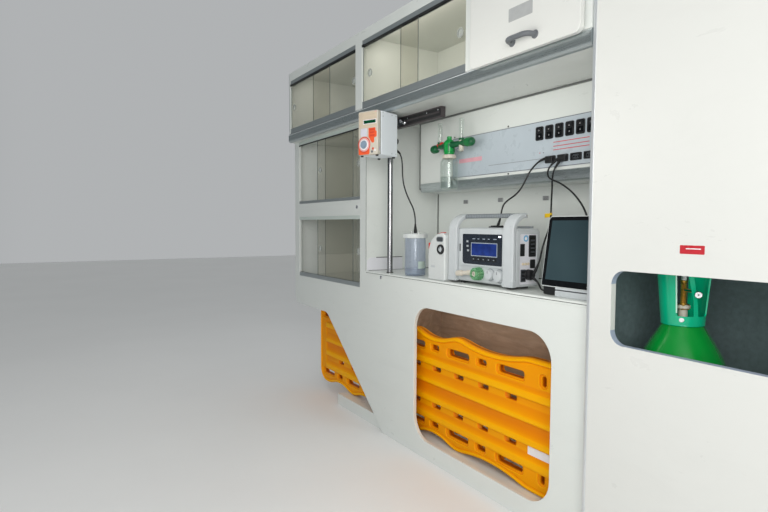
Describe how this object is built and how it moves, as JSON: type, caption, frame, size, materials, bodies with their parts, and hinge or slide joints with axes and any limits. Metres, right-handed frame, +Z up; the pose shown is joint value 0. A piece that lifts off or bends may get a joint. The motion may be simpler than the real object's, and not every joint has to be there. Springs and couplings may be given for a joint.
{
  "type": "ambulance equipment cabinet",
  "caption": "Full-height fitted side cabinet of an ambulance with overhead lockers, sliding panes, counter, medical equipment, spine board bay and oxygen locker.",
  "frame": {"origin": "centre of the footprint's bounding box, on the floor", "axes": "+X towards the vehicle's front, +Y towards the vehicle's side wall (the front of the cabinet faces -Y), +Z up"},
  "size_m": [2.84, 0.5753, 1.811],
  "materials": {
    "white_laminate": "satin white laminate",
    "bay_board": "sealed plywood",
    "aluminium": "anodised, satin",
    "track_grey": "anodised grey",
    "clear_acrylic": "polished clear sheet",
    "dark_lining": "dark grey lining",
    "black_plastic": "fine-grained",
    "dark_grey_plastic": "fine-grained",
    "white_plastic": "moulded, satin",
    "chrome": "polished",
    "green_plastic": "moulded, glossy",
    "green_paint": "gloss enamel",
    "brass": "machined",
    "orange_plastic": "moulded polyethylene",
    "clear_plastic": "clear moulded",
    "jar_plastic": "bluish translucent moulded",
    "plate_print": "satin lilac-grey plate",
    "screen": "black glass front",
    "cable_black": "satin sheath"
  },
  "bodies": {
    "cabinet": {"back_panel": "white_laminate", "bay_back_panel": "bay_board", "bay_end_panel": "white_laminate", "bay_floor": "white_laminate", "bullnose_profile": "aluminium", "connector_cord": "cable_black", "cord_plugs": "black_plastic", "counter_top": "white_laminate", "cupboard_pane_tracks": "track_grey", "cupboard_shelves": "white_laminate", "cupboard_side_panel": "white_laminate", "cylinder_valve": "brass", "door_hinges": "aluminium", "edge_profiles": "aluminium", "end_frame": "white_laminate", "equipment_rail": "black_plastic", "fascia_box": "white_laminate", "flowmeter_tubes": "clear_plastic", "humidifier_bottle": "clear_plastic", "infusion_pump": "white_plastic", "locker_lining": "dark_lining", "lower_front_panel": "white_laminate", "monitor_base_cord": "cable_black", "monitor_cord": "cable_black", "outlet_plate": "plate_print", "overhead_dividers": "white_laminate", "overhead_fascia": "white_laminate", "overhead_floor_and_roof": "white_laminate", "overhead_pane_tracks": "track_grey", "oxygen_cylinder": "green_paint", "oxygen_regulators": "green_plastic", "patient_monitor": "screen", "pole": "chrome", "power_sockets": "black_plastic", "pump_to_jar_cord": "cable_black", "rear_end_panel": "white_laminate", "rocker_switches": "black_plastic", "suction_jar": "jar_plastic", "suction_jar_lid": "white_plastic", "suction_unit": "white_plastic", "tall_front_panel": "white_laminate", "tall_shelves": "white_laminate", "tall_side_panel": "white_laminate", "valve_guard": "green_paint", "ventilator": "white_plastic", "ventilator_cage": "white_plastic", "ventilator_cord": "cable_black"},
    "flap": {"flap_door": "white_laminate", "flap_handle": "dark_grey_plastic"},
    "end_door": {"end_door": "white_laminate", "end_door_handle": "dark_grey_plastic"},
    "board": {"spine_board": "orange_plastic"},
    "middle_upper_back_pane": {"middle_upper_back_pane": "clear_acrylic"},
    "middle_upper_front_pane": {"middle_upper_front_pane": "clear_acrylic"},
    "rear_lower_back_pane": {"rear_lower_back_pane": "clear_acrylic"},
    "rear_lower_front_pane": {"rear_lower_front_pane": "clear_acrylic"},
    "rear_middle_back_pane": {"rear_middle_back_pane": "clear_acrylic"},
    "rear_middle_front_pane": {"rear_middle_front_pane": "clear_acrylic"},
    "rear_upper_back_pane": {"rear_upper_back_pane": "clear_acrylic"},
    "rear_upper_front_pane": {"rear_upper_front_pane": "clear_acrylic"}
  },
  "joints": [
    {"name": "middle_upper_back_pane_slide", "type": "slide", "parent": "cabinet", "child": "middle_upper_back_pane", "axis": [1, 0, 0], "range_m": [-0.284, 0]},
    {"name": "middle_upper_front_pane_slide", "type": "slide", "parent": "cabinet", "child": "middle_upper_front_pane", "axis": [1, 0, 0], "range_m": [0, 0.284]},
    {"name": "rear_lower_back_pane_slide", "type": "slide", "parent": "cabinet", "child": "rear_lower_back_pane", "axis": [1, 0, 0], "range_m": [-0.309, 0]},
    {"name": "rear_lower_front_pane_slide", "type": "slide", "parent": "cabinet", "child": "rear_lower_front_pane", "axis": [1, 0, 0], "range_m": [-0.232, 0.074]},
    {"name": "rear_middle_back_pane_slide", "type": "slide", "parent": "cabinet", "child": "rear_middle_back_pane", "axis": [1, 0, 0], "range_m": [-0.309, 0]},
    {"name": "rear_middle_front_pane_slide", "type": "slide", "parent": "cabinet", "child": "rear_middle_front_pane", "axis": [1, 0, 0], "range_m": [-0.232, 0.074]},
    {"name": "rear_upper_back_pane_slide", "type": "slide", "parent": "cabinet", "child": "rear_upper_back_pane", "axis": [1, 0, 0], "range_m": [-0.273, 0]},
    {"name": "rear_upper_front_pane_slide", "type": "slide", "parent": "cabinet", "child": "rear_upper_front_pane", "axis": [1, 0, 0], "range_m": [0, 0.273]},
    {"name": "flap_hinge", "type": "hinge", "parent": "cabinet", "child": "flap", "pos_m": [0.421, -0.191, 1.793], "axis": [-1, 0, 0], "range_deg": [0, 85]},
    {"name": "end_door_hinge", "type": "hinge", "parent": "cabinet", "child": "end_door", "pos_m": [1.395, 0.241, 0.905], "axis": [0, 0, 1], "range_deg": [0, 90]},
    {"name": "spine_board_slide", "type": "slide", "parent": "cabinet", "child": "board", "axis": [-1, 0, 0], "range_m": [0, 1.2]}
  ]
}
